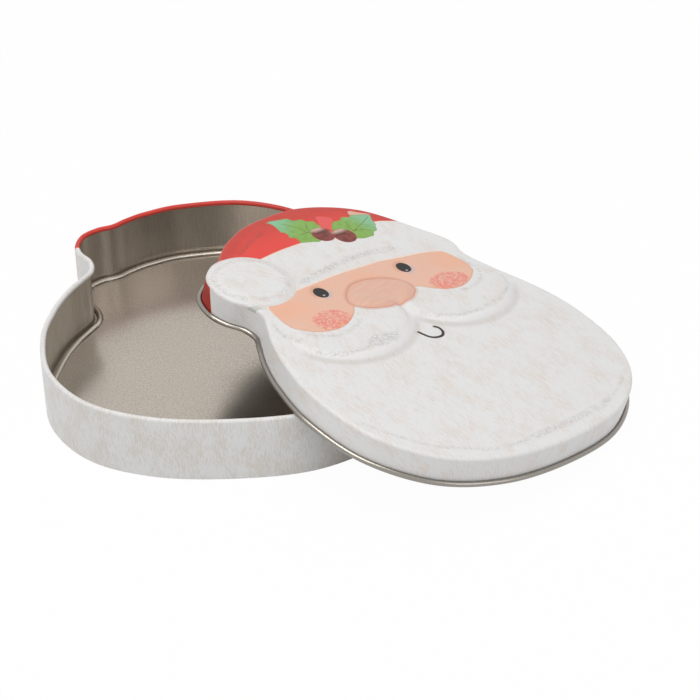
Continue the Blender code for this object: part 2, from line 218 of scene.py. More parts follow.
VEINS_MM = [
    [(-0.1, 82.4), (1.0, 86.4), (3.2, 89.4)],
    [(-0.1, 82.4), (-0.9, 83.1), (-2.9, 87.4), (-5.8, 91.7), (-7.9, 93.7)],
    [(-1.3, 83.2), (-3.5, 83.4), (-5.8, 82.7)],
    [(20.8, 75.4), (21.4, 79.3), (22.6, 83.1)],
    [(20.8, 75.4), (28.6, 78.5), (36.6, 82.3)],
    [(21.4, 75.5), (25.4, 75.0), (29.5, 72.4)],
]
BERRIES_MM = [(4.9, 79.1, 5.7, 5.6), (14.2, 74.1, 5.7, 5.6)]
BERRY_TOPS_MM = [(4.4, 83.6, 3.6, 1.0), (13.8, 78.6, 3.6, 1.0)]
# Two lighter patches of the hat beside the holly: painted highlights
PINK_HIGHLIGHT_MM = [
    (11.7, 92.3), (13.5, 91.9), (16.9, 90.1), (18.3, 88.5), (17.4, 86.3), (14.0, 83.1),
    (11.7, 79.9), (10.8, 81.6), (8.3, 84.8), (10.0, 88.4),
]
PEACH_HIGHLIGHT_MM = [(30.9, 90.1), (34.2, 87.3), (39.2, 83.5), (36.4, 84.3), (29.0, 87.1)]

# The fields that the lid's print is painted from, three to a mesh attribute
PRINT_FIELDS = {
    "regions": ("hat", "face", "pompom"),
    "features": ("nose", "eyes", "cheeks"),
    "places": ("edge", "across", "up"),
    "pencils": ("fur_line", "pencil_lines", "beard_line"),
    "lines": ("smile", "lobes", "hat_line"),
    "holly": ("leaf", "vein", "leaf_share"),
    "berries": ("berry", "berry_top", "eye_light"),
    "patches": ("pink_highlight", "peach_highlight", "eye_side"),
}


# Outline and sections, as in the solids

def curve_through(here, before, after, beyond, steps):
    """Points on the smooth stretches from `here` to `after`, given the points around them."""
    rows = []
    for t in np.arange(steps) / steps:
        square = 2 * before - 5 * here + 4 * after - beyond
        cube = 3 * here - before - 3 * after + beyond
        rows.append(here + 0.5 * t * ((after - before) + t * square + t * t * cube))
    return np.stack(rows, axis=1).reshape(-1, 2)


def closed_curve(points, steps):
    """A smooth closed curve through the points, with `steps` points to each stretch."""
    here = np.asarray(points, float)
    before, after, beyond = (np.roll(here, shift, axis=0) for shift in (1, -1, -2))
    return curve_through(here, before, after, beyond, steps)


def open_curve(points):
    """A smooth curve through the points, from the first to the last."""
    points = np.asarray(points, float)
    padded = np.vstack([points[:1], points, points[-1:]])
    curve = curve_through(padded[1:-2], padded[:-3], padded[2:-1], padded[3:], CURVE_STEPS)
    return np.vstack([curve, points[-1:]])


def outward_of(curve):
    along = np.roll(curve, -1, axis=0) - np.roll(curve, 1, axis=0)
    outward = np.stack([along[:, 1], -along[:, 0]], axis=1)
    return outward / np.linalg.norm(outward, axis=1)[:, None]


def offset(curve, distance):
    """The closed curve moved outward by a distance."""
    return curve + distance * outward_of(curve)


def arc(centre, radius, start, end, steps):
    """Points on an arc, as pairs of outset and height; the angles are in degrees."""
    angles = np.radians(np.linspace(start, end, steps + 1))
    return [(centre[0] + radius * math.cos(a), centre[1] + radius * math.sin(a)) for a in angles]


def curl_end_angle(radius, clearance):
    """How far a curl stops short of its wall, in degrees, so that the clearance stays."""
    return math.degrees(math.acos((radius - SHEET - clearance) / radius))


OUTLINE = closed_curve(np.array(OUTLINE_SHARES) * (TIN_WIDTH, TIN_LENGTH), OUTLINE_STEPS)
WALL_OUTSET = -SHEET - SLIP_CLEARANCE


def wall_sides():
    """The printed and the bare side of the body's wall, from the curl's end to the foot's edge."""
    curl_centre = (WALL_OUTSET - RIM_CURL_RADIUS, BODY_HEIGHT - RIM_CURL_RADIUS)
    foot_centre = (WALL_OUTSET - FOOT_RADIUS, FOOT_RADIUS)
    turn = 360 - curl_end_angle(RIM_CURL_RADIUS, SEAT_GAP)
    sides = []
    for depth in (0, SHEET):
        side = arc(curl_centre, RIM_CURL_RADIUS - depth, turn, 0, CURL_STEPS)
        side += arc(foot_centre, FOOT_RADIUS - depth, 0, -90, FOOT_STEPS)
        side.append((WALL_OUTSET - FOOT_WIDTH, depth))
        sides.append(side)
    return sides


def plate_sides():
    """The upper and the lower side of the bottom plate, from its edge over the bead inward."""
    edge = WALL_OUTSET - SHEET - SEAT_GAP
    level = SHEET + SEAT_GAP + SHEET
    centre = (edge - BEAD_SEAT - BEAD_RADIUS, level)
    sides = []
    for depth in (0, SHEET):
        low = (centre[0], centre[1] - depth)
        radius = BEAD_RADIUS - depth
        side = [(edge, low[1]), (centre[0] + BEAD_RADIUS + BEAD_SEAT / 2, low[1])]
        turn = math.degrees(math.asin(depth / radius))
        side += arc(centre, radius, -turn, 180 + turn, BEAD_STEPS)
        side.append((centre[0] - BEAD_RADIUS - BEAD_SEAT / 2, low[1]))
        sides.append(side)
    return sides


def lid_sides():
    """The bare and the printed side of the lid, from the top panel's edge to the curl's end."""
    shoulder_centre = (-SHOULDER_RADIUS, LID_DEPTH - SHOULDER_RADIUS)
    curl_centre = (LID_CURL_RADIUS - SHEET, LID_CURL_RADIUS)
    turn = 540 - curl_end_angle(LID_CURL_RADIUS, SEAT_GAP)
    sides = []
    for depth in (SHEET, 0):
        side = arc(shoulder_centre, SHOULDER_RADIUS - depth, 90, 0, SHOULDER_STEPS)
        side += arc(curl_centre, LID_CURL_RADIUS - SHEET + depth, 180, turn, CURL_STEPS)
        sides.append(side)
    return sides


# Shapes in the plane: distances are negative inside

def smooth(share):
    share = np.clip(share, 0, 1)
    return share * share * (3 - 2 * share)


def line_distance(points, starts, ends):
    """The least distance from each point to the line pieces."""
    best = np.full(len(points), np.inf)
    for start, end in zip(starts, ends):
        along = end - start
        share = np.clip((points - start) @ along / max(along @ along, LEAST_SQUARE), 0, 1)
        best = np.minimum(best, np.linalg.norm(start + share[:, None] * along - points, axis=1))
    return best


def inside(points, curve):
    """Which points lie inside a closed curve."""
    odd = np.zeros(len(points), bool)
    for a, b in zip(curve, np.roll(curve, -1, axis=0)):
        crossing = (a[1] > points[:, 1]) != (b[1] > points[:, 1])
        level = b[1] - a[1] if b[1] != a[1] else 1
        places = a[0] + (points[:, 1] - a[1]) * (b[0] - a[0]) / level
        odd ^= crossing & (places > points[:, 0])
    return odd


def closed_distance(points, curve):
    """The distance to a closed curve."""
    distance = line_distance(points, curve, np.roll(curve, -1, axis=0))
    return np.where(inside(points, curve), -distance, distance)


def open_distance(points, *curves):
    """The distance to the nearest of some open curves."""
    return np.min([line_distance(points, curve[:-1], curve[1:]) for curve in curves], axis=0)


def oval_distance(points, *ovals):
    """About the distance to the nearest of some ovals, each as its middle and its half sizes."""
    distances = []
    for oval in ovals:
        reach = points - oval[:2]
        half = np.array(oval[2:])
        radius = np.linalg.norm(reach / half, axis=1)
        slope = np.linalg.norm(reach / half ** 2, axis=1)
        distance = radius * (radius - 1) / np.maximum(slope, MM)
        distances.append(np.where(radius > 0, distance, -half.min()))
    return np.min(distances, axis=0)


def leaf_outline(leaf):
    return np.vstack([open_curve(strip)[:-1] for strip in leaf])


# Embossing, as in the solids

def oval_size(shares):
    across, up, half_width, half_height = shares
    middle = np.array((across * TIN_WIDTH, up * TIN_LENGTH))
    return middle, np.array((half_width * TIN_WIDTH, half_height * TIN_LENGTH))


def embossed_ovals():
    """Each oval as its middle, half sizes, slope shares at the bottom and top, and rise."""
    right_oval = MOUSTACHE_OVAL_SHARES
    left_oval = (2 * FACE_MIDDLE_SHARE - right_oval[0],) + right_oval[1:]
    return [
        oval_size(left_oval) + (MOUSTACHE_SLOPE_SHARES, MOUSTACHE_RISE),
        oval_size(right_oval) + (MOUSTACHE_SLOPE_SHARES, MOUSTACHE_RISE),
        oval_size(NOSE_OVAL_SHARES) + (NOSE_SLOPE_SHARES, NOSE_RISE),
        oval_size(POMPOM_OVAL_SHARES) + (POMPOM_SLOPE_SHARES, POMPOM_RISE),
    ]


def emboss_heights(points, edge_distance):
    """How far the top panel rises at each point."""
    heights = np.zeros(len(points))
    for middle, half, (bottom, top), rise in embossed_ovals():
        reach = (points - middle) / half
        radius = np.linalg.norm(reach, axis=1)
        slope = bottom + (top - bottom) * smooth(reach[:, 1] / np.maximum(radius, MM))
        heights += rise * smooth((1 - radius) / slope)
    return heights * smooth(edge_distance / EMBOSS_MARGIN)


# Meshes

def rings_of(side):
    """A side's outsets and heights swept round the outline."""
    return [np.column_stack([offset(OUTLINE, o), np.full(len(OUTLINE), h)]) for o, h in side]


def hex_net(low, high, spacing):
    """Points of a triangular net over a rectangle."""
    row_height = spacing * math.sqrt(3) / 2
    rows = []
    for row in range(int((high[1] - low[1]) / row_height) + 1):
        across = np.arange(low[0] + spacing / 2 * (row % 2), high[0], spacing)
        rows.append(np.column_stack([across, np.full(len(across), low[1] + row * row_height)]))
    return np.vstack(rows)


def panel_net(border, spacing_at):
    """Points over the inside of the border, at the spacing that spacing_at gives each place."""
    low, high = border.min(axis=0), border.max(axis=0)
    kept = [border]
    for spacing in SPACINGS:
        points = hex_net(low, high, spacing)
        points = points[np.isclose(spacing_at(points), spacing)]
        points = points[inside(points, border)]
        tree = KDTree(sum(len(group) for group in kept))
        for number, (x, y) in enumerate(np.vstack(kept)):
            tree.insert((x, y, 0), number)
        tree.balance()
        clear = [tree.find((x, y, 0))[2] > NET_GAP_SHARE * spacing for x, y in points]
        kept.append(points[np.array(clear, bool)])
    return np.vstack(kept[1:])


def panel_faces(border, net):
    """Triangles over the border's points, which come first, and the net's."""
    points = [Vector(point) for point in np.vstack([border, net])]
    edge = list(range(len(border)))
    lines = [(i, (i + 1) % len(border)) for i in edge]
    _, _, faces, sources, _, _ = delaunay_2d_cdt(points, lines, [edge], 1, MM * MM)
    return [[sources[number][0] for number in face] for face in faces]


class Sheet:
    """A closed mesh of swept rings and flat panels, with a material number for each face."""

    def __init__(self):
        self.groups = []
        self.faces = []
        self.materials = []
        self.count = 0

    def add_points(self, points):
        start = self.count
        self.groups.append(points)
        self.count += len(points)
        return start

    def add_rings(self, rings, material):
        """Rings joined one to the next; gives the number of each ring's first point."""
        starts = [self.add_points(ring) for ring in rings]
        self.join_rings(starts, material)
        return starts

    def join_rings(self, starts, material):
        size = len(OUTLINE)
        for a, b in zip(starts, starts[1:]):
            for i in range(size):
                j = (i + 1) % size
                self.faces.append([a + i, a + j, b + j, b + i])
                self.materials.append(material)

    def add_panel(self, ring_start, net, faces, material):
        """A panel whose border is a ring that is there already."""
        size = len(OUTLINE)
        start = self.add_points(net)
        for face in faces:
            self.faces.append([ring_start + n if n < size else start + n - size for n in face])
            self.materials.append(material)

    def points(self):
        return np.vstack(self.groups)

    def fill(self, ring_start, section_point, spacing_at, rise, material):
        """Adds a panel inside a ring; gives its net and the net's distances to the edge."""
        outset, level = section_point
        border = offset(OUTLINE, outset)
        net = panel_net(border, spacing_at)
        edge_distance = -closed_distance(net, border)
        raised = np.column_stack([net, level + rise(net, edge_distance)])
        self.add_panel(ring_start, raised, panel_faces(border, net), material)
        return net, edge_distance

    def build(self, name, materials, matrix):
        """An object of the sheet, its faces turned outward and its points moved into place."""
        mesh = bpy.data.meshes.new(name)
        mesh.from_pydata(self.points().tolist(), [], self.faces)
        mesh.transform(matrix)
        for material in materials:
            mesh.materials.append(material)
        mesh.polygons.foreach_set("material_index", self.materials)
        work = bmesh.new()
        work.from_mesh(mesh)
        bmesh.ops.recalc_face_normals(work, faces=work.faces)
        work.to_mesh(mesh)
        work.free()
        mesh.shade_smooth()
        mesh.set_sharp_from_angle(angle=SHARP_ANGLE)
        piece = bpy.data.objects.new(name, mesh)
        bpy.context.scene.collection.objects.link(piece)
        return piece


def add_vectors(piece, name, values):
    """Keeps three numbers for each point of the mesh."""
    attribute = piece.data.attributes.new(name, "FLOAT_VECTOR", "POINT")
    attribute.data.foreach_set("vector", np.ascontiguousarray(values, dtype=np.float32).ravel())


def path_lengths(side):
    steps = np.linalg.norm(np.diff(np.array(side), axis=0), axis=1)
    return np.concatenate([[0], np.cumsum(steps)])


def around_mm():
    """How far along the outline each of its points lies."""
    steps = np.linalg.norm(np.roll(OUTLINE, -1, axis=0) - OUTLINE, axis=1)
    return np.concatenate([[0], np.cumsum(steps)[:-1]]) / MM


# Nodes

class Field:
    """A number that varies over the surface, with operators that add Math nodes."""

    def __init__(self, graph, socket):
        self.graph = graph
        self.socket = socket

    def __add__(self, other):
        return self.graph.math("ADD", self, other)

    def __sub__(self, other):
        return self.graph.math("SUBTRACT", self, other)

    def __rsub__(self, other):
        return self.graph.math("SUBTRACT", other, self)

    def __mul__(self, other):
        return self.graph.math("MULTIPLY", self, other)

    def size(self):
        return self.graph.math("ABSOLUTE", self)

    def most(self, other):
        return self.graph.math("MAXIMUM", self, other)


class Graph:
    """Builds the nodes of one material or of the world."""

    def __init__(self, tree):
        self.tree = tree

    def feed(self, socket, value):
        if isinstance(value, Field):
            self.tree.links.new(value.socket, socket)
        elif isinstance(value, bpy.types.NodeSocket):
            self.tree.links.new(value, socket)
        else:
            socket.default_value = value

    def node(self, kind, feeds=None, **settings):
        made = self.tree.nodes.new(kind)
        for name, value in settings.items():
            setattr(made, name, value)
        for name, value in (feeds or {}).items():
            self.feed(made.inputs[name], value)
        return made

    def math(self, operation, *values):
        made = self.node("ShaderNodeMath", dict(enumerate(values)), operation=operation)
        return Field(self, made.outputs[0])

    def attribute(self, name):
        """The vector socket of a mesh attribute."""
        return self.node("ShaderNodeAttribute", attribute_name=name).outputs["Vector"]

    def fields(self, attribute, names):
        """The three numbers of a mesh attribute, by name."""
        parts = self.node("ShaderNodeSeparateXYZ", {0: self.attribute(attribute)})
        return {name: Field(self, socket) for name, socket in zip(names, parts.outputs)}

    def rise(self, value, start, end):
        """0 at the start and 1 at the end, or the other way where the end is below the start."""
        feeds = {"Value": value, "From Min": start, "From Max": end}
        made = self.node("ShaderNodeMapRange", feeds, interpolation_type="SMOOTHSTEP")
        return Field(self, made.outputs["Result"])

    def within(self, distance, softness=0.12, edge=0.0):
        """1 where a distance is under the edge, with a soft change over twice the softness."""
        return self.rise(distance, edge + softness, edge - softness)

    def near(self, value, middle, half_width, softness):
        """1 where a value is near the middle."""
        return self.rise((value - middle).size(), half_width + softness, half_width)

    def laid(self, vector, turn=0.0, size=(1.0, 1.0, 1.0), shift=(0.0, 0.0, 0.0)):
        """Coordinates in which a unit measures `size` on the surface, turned by so many degrees."""
        made = self.node("ShaderNodeMapping", {"Vector": vector}, vector_type="TEXTURE")
        made.inputs["Location"].default_value = shift
        made.inputs["Rotation"].default_value = (0, 0, math.radians(turn))
        made.inputs["Scale"].default_value = size
        return made.outputs["Vector"]

    def noise(self, vector, size=1.0, detail=2.0, roughness=0.5):
        feeds = {"Vector": vector, "Scale": 1 / size, "Detail": detail, "Roughness": roughness}
        made = self.node("ShaderNodeTexNoise", feeds, noise_dimensions="3D")
        return Field(self, made.outputs["Fac"])

    def warped(self, vector, size, amount):
        """The coordinates pushed about by a noise, so that straight patterns bend."""
        feeds = {"Vector": vector, "Scale": 1 / size, "Detail": 1.0}
        push = self.node("ShaderNodeTexNoise", feeds).outputs["Color"]
        kind = "ShaderNodeVectorMath"
        centred = self.node(kind, {0: push, 1: (0.5, 0.5, 0.5)}, operation="SUBTRACT").outputs[0]
        scaled = self.node(kind, {0: centred, "Scale": amount}, operation="SCALE").outputs[0]
        return self.node(kind, {0: vector, 1: scaled}, operation="ADD").outputs[0]

    def hairs(self, vector, turn, length, width, start=0.54, end=0.62):
        """Thin strokes in one direction: 1 on a stroke and 0 between them."""
        return self.rise(self.noise(self.laid(vector, turn, (length, width, 1.0))), start, end)

    def mix(self, base, colour, share):
        """The base colour with a share of the other; the sockets are numbered, as names repeat."""
        feeds = {0: share, 6: base, 7: colour}
        return self.node("ShaderNodeMix", feeds, data_type="RGBA").outputs[2]


def new_material(name, **constants):
    """A material, a graph for its nodes, and its Principled shader with these constants."""
    material = bpy.data.materials.new(name)
    material.use_nodes = True
    shader = material.node_tree.nodes["Principled BSDF"]
    for socket, value in constants.items():
        shader.inputs[socket.replace("_", " ")].default_value = value
    return material, Graph(material.node_tree), shader


def add_bump(graph, shader, height, distance, strength):
    feeds = {"Height": height, "Distance": distance, "Strength": strength}
    bump = graph.node("ShaderNodeBump", feeds)
    graph.feed(shader.inputs["Normal"], bump.outputs["Normal"])


def srgb(red, green, blue):
    """A colour for a node from its values on the screen."""
    shares = np.array((red, green, blue)) / 255
    linear = np.where(shares <= 0.04045, shares / 12.92, ((shares + 0.055) / 1.055) ** 2.4)
    return tuple(linear) + (1.0,)


# Print

WHITE = srgb(226, 226, 226)
BEIGE = srgb(219, 206, 196)
TAN = srgb(211, 202, 190)
GREY = srgb(154, 149, 141)
LOBE_SHADE = srgb(196, 190, 184)
# A painted highlight for the lips of the embossed moustache lobes
LIP_HIGHLIGHT = srgb(236, 235, 234)
HAT_GREY = srgb(112, 66, 58)
SHADE_GREY = srgb(178, 180, 172)
RED = srgb(225, 67, 58)
DARK_RED = srgb(196, 62, 52)
DEEP_RED = srgb(176, 58, 50)
# A darker red for the lid's steep skirt: painted shade
SHADED_SKIRT_RED = srgb(142, 36, 28)
HIGHLIGHT_PINK = srgb(226, 92, 90)
PEACH = srgb(229, 184, 162)
WARM_PEACH = srgb(233, 180, 153)
CREAM = srgb(242, 214, 190)
BLUSH = srgb(228, 118, 112)
NOSE_COLOUR = srgb(222, 177, 156)
NOSE_DARK = srgb(206, 136, 112)
NOSE_LIGHT = srgb(227, 190, 172)
BLACK = srgb(14, 12, 12)
SOFT_BLACK = srgb(36, 32, 30)
LILAC = srgb(200, 182, 184)
BROWN_SHADE = srgb(204, 150, 124)
LEAF = srgb(130, 173, 80)
LEAF_DARK = srgb(98, 142, 64)
LEAF_TEAL = srgb(138, 196, 172)
VEIN = srgb(98, 100, 52)
BERRY = srgb(130, 56, 48)
BERRY_DARK = srgb(94, 36, 32)
BERRY_RED = srgb(152, 58, 52)
BERRY_LIGHT = srgb(226, 205, 190)

# How far the fur's light strokes turn from its direction, in degrees
FUR_TURNS = (-34, -14, 16, 40)

VARNISH_SPECULAR = 0.35
VARNISH_ROUGHNESS = 0.34


def fur(graph, place, turn, colour, share, cover=0.0, stroke=(7.0, 0.34)):
    """White fur: beige shows in ragged patches, under light strokes that run in a few directions.

    `cover` adds to the patches, and `stroke` is the length and width of the light strokes.
    """
    bent = graph.warped(place, 14.0, 5.0)
    ragged = graph.noise(graph.laid(bent, turn, (4.5, 0.45, 1.0)))
    crossed = graph.noise(graph.laid(bent, turn + 24, (4.0, 0.40, 1.0)))
    broad = graph.noise(graph.laid(place, turn, (15.0, 10.0, 1.0)), 1.0, 2.0) + cover
    patches = graph.rise(broad + (ragged - 0.5) * 1.3 + (crossed - 0.5) * 0.8, 0.52, 0.68)
    light = graph.hairs(bent, turn, *stroke, 0.58, 0.66)
    for more in FUR_TURNS:
        light = light.most(graph.hairs(bent, turn + more, *stroke, 0.60, 0.68))
    stray = graph.hairs(bent, turn + 6, 3.0, 0.42, 0.62, 0.70)
    shade = (patches * (1.0 - light * 0.85)).most(stray * 0.3)
    return graph.mix(WHITE, colour, shade * share)


def pencil(graph, place, band):
    """How dark the pencil's fine grain is within a band."""
    grain = graph.hairs(place, 18, 1.8, 0.42, 0.48, 0.60)
    grain = grain.most(graph.hairs(place, -28, 1.8, 0.42, 0.52, 0.62))
    return band * grain * graph.rise(graph.noise(place, 5.0), 0.25, 0.50)


def hat(graph, place, base, distance, shade, skirt_shade=0.0):
    """The red hat over the base with a cream edge, darker by the shade and by painted skirt shade.
    """
    bent = graph.warped(place, 12.0, 4.0)
    streaks = graph.hairs(bent, 60, 6.0, 0.6, 0.46, 0.66)
    colour = graph.mix(RED, DARK_RED, shade)
    colour = graph.mix(colour, DEEP_RED, streaks * 0.05)
    clouds = graph.rise(graph.noise(bent, 14.0), 0.58, 0.75)
    colour = graph.mix(colour, DEEP_RED, clouds * 0.16)
    colour = graph.mix(colour, SHADED_SKIRT_RED, skirt_shade)
    with_edge = graph.mix(base, CREAM, graph.within(distance, 0.7, 0.5) * 0.8)
    return graph.mix(with_edge, colour, graph.within(distance, 0.35))


def paint_face(graph, place, colour, art):
    """The skin, the cheeks, the nose and the eyes over the base."""
    skin = graph.mix(PEACH, WARM_PEACH, graph.rise(graph.noise(place, 24.0, 1.0), 0.42, 0.62))
    low = graph.rise(art["up"], 40.0, 30.0)
    skin = graph.mix(skin, BROWN_SHADE, graph.near(art["face"], 0.0, 0.2, 0.7) * low * 0.6)
    in_face = graph.within(art["face"] + (graph.noise(place, 1.6) - 0.5) * 0.8, 0.35)
    bent = graph.warped(place, 2.4, 2.6)
    other = graph.laid(bent, shift=(50.0, 0.0, 7.0))
    curls = graph.near(graph.noise(bent, 2.6, 1.0), 0.5, 0.03, 0.035)
    curls = curls.most(graph.near(graph.noise(other, 2.2, 1.0), 0.5, 0.03, 0.035))
    in_cheeks = graph.within(art["cheeks"] + (graph.noise(place, 2.6) - 0.5) * 3.0, 0.8)
    blush = in_cheeks * (curls * 0.68 + 0.06)
    glow = graph.rise(art["face"], 1.8, 0.0) * graph.rise(art["up"], 42.0, 47.0)
    colour = graph.mix(colour, CREAM, glow * 0.5)
    colour = graph.mix(colour, graph.mix(skin, BLUSH, blush), in_face)

    colour = graph.mix(colour, BROWN_SHADE, graph.near(art["nose"], 0.2, 0.3, 1.0) * 0.45)
    tone = graph.mix(NOSE_COLOUR, NOSE_LIGHT, graph.hairs(place, 14, 9.0, 1.6, 0.42, 0.70) * 0.5)
    tone = graph.mix(tone, NOSE_DARK, graph.rise(art["nose"], -2.6, 0.0) * 0.25)
    tone = graph.mix(tone, NOSE_DARK, graph.near(art["nose"], -0.25, 0.2, 0.3) * 0.7)
    colour = graph.mix(colour, tone, graph.within(art["nose"], 0.15))

    beside = graph.within(art["eyes"], 0.9, 1.5)
    colour = graph.mix(colour, BROWN_SHADE, beside * graph.rise(art["eye_side"], 0.5, -3.0) * 0.55)
    colour = graph.mix(colour, LILAC, beside * graph.rise(art["eye_side"], 1.5, 3.5) * 0.85)
    colour = graph.mix(colour, BLACK, graph.within(art["eyes"], 0.15))
    return graph.mix(colour, LILAC, graph.within(art["eye_light"], 0.2) * 0.85)


def paint_holly(graph, place, colour, art):
    """Two leaves with veins, two berries, and two painted highlights on the hat beside them."""
    # The two patches are painted highlights on the hat's red
    colour = graph.mix(colour, HIGHLIGHT_PINK, graph.within(art["pink_highlight"], 0.3) * 0.9)
    colour = graph.mix(colour, PEACH, graph.within(art["peach_highlight"], 0.3) * 0.9)
    green = graph.mix(LEAF, LEAF_DARK, graph.rise(graph.noise(place, 3.0, 2.0), 0.44, 0.68) * 0.35)
    strokes = graph.hairs(place, 20, 5.0, 0.6, 0.46, 0.66)
    teal = graph.rise(art["leaf_share"] + strokes * 0.12, 0.32, 0.95)
    green = graph.mix(green, LEAF_TEAL, teal * 0.75)
    green = graph.mix(green, VEIN, graph.within(art["vein"], 0.15, 0.22))
    green = graph.mix(green, LEAF_DARK, graph.near(art["leaf"], -0.15, 0.1, 0.25) * 0.5)
    colour = graph.mix(colour, green, graph.within(art["leaf"], 0.15))
    ball = graph.mix(BERRY, BERRY_DARK, graph.rise(graph.noise(place, 3.4), 0.44, 0.60))
    ball = graph.mix(ball, BERRY_RED, graph.rise(art["berry"], -1.1, -0.1) * 0.8)
    ball = graph.mix(ball, BERRY_LIGHT, graph.within(art["berry_top"], 1.5, 0.3) * 0.65)
    return graph.mix(colour, ball, graph.within(art["berry"], 0.15))


def lid_print():
    material, graph, shader = new_material("lid_print", Specular_IOR_Level=VARNISH_SPECULAR)
    place = graph.attribute("print_place")
    art = {}
    for attribute, names in PRINT_FIELDS.items():
        art.update(graph.fields(attribute, names))

    colour = fur(graph, place, 80, BEIGE, 0.7, 0.02)
    low = graph.rise(art["up"], 14.0, 5.0)
    # Painted highlight along the lip of each embossed moustache lobe, and painted shade just below
    # it
    colour = graph.mix(colour, LIP_HIGHLIGHT, graph.near(art["lobes"], -2.0, 0.7, 1.2) * low * 0.7)
    colour = graph.mix(colour, LOBE_SHADE, graph.near(art["lobes"], 1.2, 0.1, 2.8) * low * 0.5)
    band = graph.within(art["fur_line"], 1.3, 1.7).most(graph.within(art["pencil_lines"], 1.0, 0.8))
    wide = graph.near(art["across"], 10.0, 20.0, 14.0)
    band = band.most(graph.within(art["beard_line"], 0.9, wide + 0.8) * 0.8)
    colour = graph.mix(colour, GREY, pencil(graph, place, band) * 0.5)

    darker = graph.rise(art["edge"] + graph.noise(place, 9.0) * 8.0, 13.0, 5.0)
    darker = darker.most(graph.rise(art["up"], 80.0, 98.0) * 0.9)
    # The skirt's red is painted darker: painted shade on its steep sides
    skirt = graph.rise(art["edge"], -1.5, -5.0)
    colour = hat(graph, place, colour, art["hat"], darker, skirt * 0.7)
    band = graph.within(art["hat_line"], 0.9, 1.0)
    colour = graph.mix(colour, HAT_GREY, pencil(graph, place, band) * 0.7)
    colour = paint_face(graph, place, colour, art)

    # The pompom, with a ring of pencil and a soft shade beside it where it meets the skirt
    left = graph.rise(art["across"], -58.0, -64.0)
    on_top = graph.rise(art["edge"], -2.7, -2.1)
    shade = graph.near(art["pompom"], 1.2, 0.8, 0.7) * left * graph.rise(art["edge"], -3.4, -2.8)
    colour = graph.mix(colour, SHADE_GREY, shade * graph.rise(art["up"], 68.0, 62.0) * 0.8)
    # Painted shade just inside the embossed disc's edge
    rim_shade = graph.near(art["pompom"], -0.3, 0.3, 0.8)
    disc = graph.mix(fur(graph, place, 120, BEIGE, 0.8), GREY, rim_shade * 0.14)
    ring = pencil(graph, place, graph.near(art["pompom"], -4.2, 0.7, 1.0))
    disc = graph.mix(disc, GREY, ring * 0.3)
    colour = graph.mix(colour, disc, graph.within(art["pompom"], 0.25) * on_top)

    colour = paint_holly(graph, place, colour, art)
    colour = graph.mix(colour, SOFT_BLACK, graph.within(art["smile"], 0.18))
    finish_print(graph, shader, colour, place)
    return material


def body_print():
    material, graph, shader = new_material("body_print", Specular_IOR_Level=VARNISH_SPECULAR)
    place = graph.attribute("print_place")
    art = graph.fields("wall_art", ("hat",))
    shade = graph.rise(graph.noise(place, 12.0), 0.35, 0.65) * 0.5 + 0.4
    base = fur(graph, place, 92, TAN, 0.66, 0.09, (13.0, 0.8))
    colour = hat(graph, place, base, art["hat"], shade)
    finish_print(graph, shader, colour, place)
    return material


def finish_print(graph, shader, colour, place):
    """Colour and a faint unevenness of varnish, the same on both prints."""
    graph.feed(shader.inputs["Base Color"], colour)
    graph.feed(shader.inputs["Roughness"], graph.noise(place, 6.0, 3.0) * 0.16 + VARNISH_ROUGHNESS)
    add_bump(graph, shader, graph.noise(place, 0.9, 2.0), 0.00002, 0.35)


# Bare metal

# Each metal: its light and dark tone, its roughness, and its streaks' size in millimetres and share
NO_STREAKS = (1.0, 1.0, 1.0)
METALS = {
    "wall_tinplate": (srgb(200, 193, 184), srgb(166, 160, 151), 0.36, (0.7, 12.0, 1.0), 0.3),
    "floor_tinplate": (srgb(191, 183, 172), srgb(141, 134, 124), 0.24, NO_STREAKS, 0.0),
    # The lid's tinplate is toned darker than the body's: painted shade for darker reflections on
    # its curl
    "shaded_lid_tinplate": (srgb(153, 148, 141), srgb(121, 116, 109), 0.20, NO_STREAKS, 0.0),
}


def tinplate(name):
    """Bare tinplate with fine grain and streaks."""
    light, dark, roughness, streak_size, streak_share = METALS[name]
    material, graph, shader = new_material(name, Metallic=1.0)
    place = graph.attribute("metal_place")
    grain = graph.noise(place, 0.8, 4.0, 0.65)
    streaks = graph.noise(graph.laid(place, 0, streak_size), 1.0, 2.0)
    clouds = graph.noise(place, 26.0, 2.0)
    tone = graph.rise(grain, 0.35, 0.70) * 0.45 + graph.rise(streaks, 0.35, 0.70) * streak_share
    graph.feed(shader.inputs["Base Color"], graph.mix(light, dark, tone))
    uneven = (grain - 0.5) * 0.14 + (streaks - 0.5) * 0.2 * streak_share + (clouds - 0.5) * 0.08
    graph.feed(shader.inputs["Roughness"], uneven + roughness)
    add_bump(graph, shader, grain + streaks * streak_share, 0.00003, 0.25)
    return material


# Pieces

def body_matrix():
    return Matrix.Translation(BODY_PLACE)


def lid_matrix():
    axis = Vector((math.cos(LEAN_AXIS_TURN), math.sin(LEAN_AXIS_TURN), 0))
    rotation = Matrix.Rotation(LID_LEAN, 4, axis) @ Matrix.Rotation(LID_TURN, 4, "Z")
    return Matrix.Translation(LID_PLACE) @ rotation


def hat_distance(points_mm):
    """The distance to the hat's edge, closed far above the hat."""
    return closed_distance(points_mm, np.vstack([open_curve(HAT_EDGE_MM), HAT_TOP_MM]))


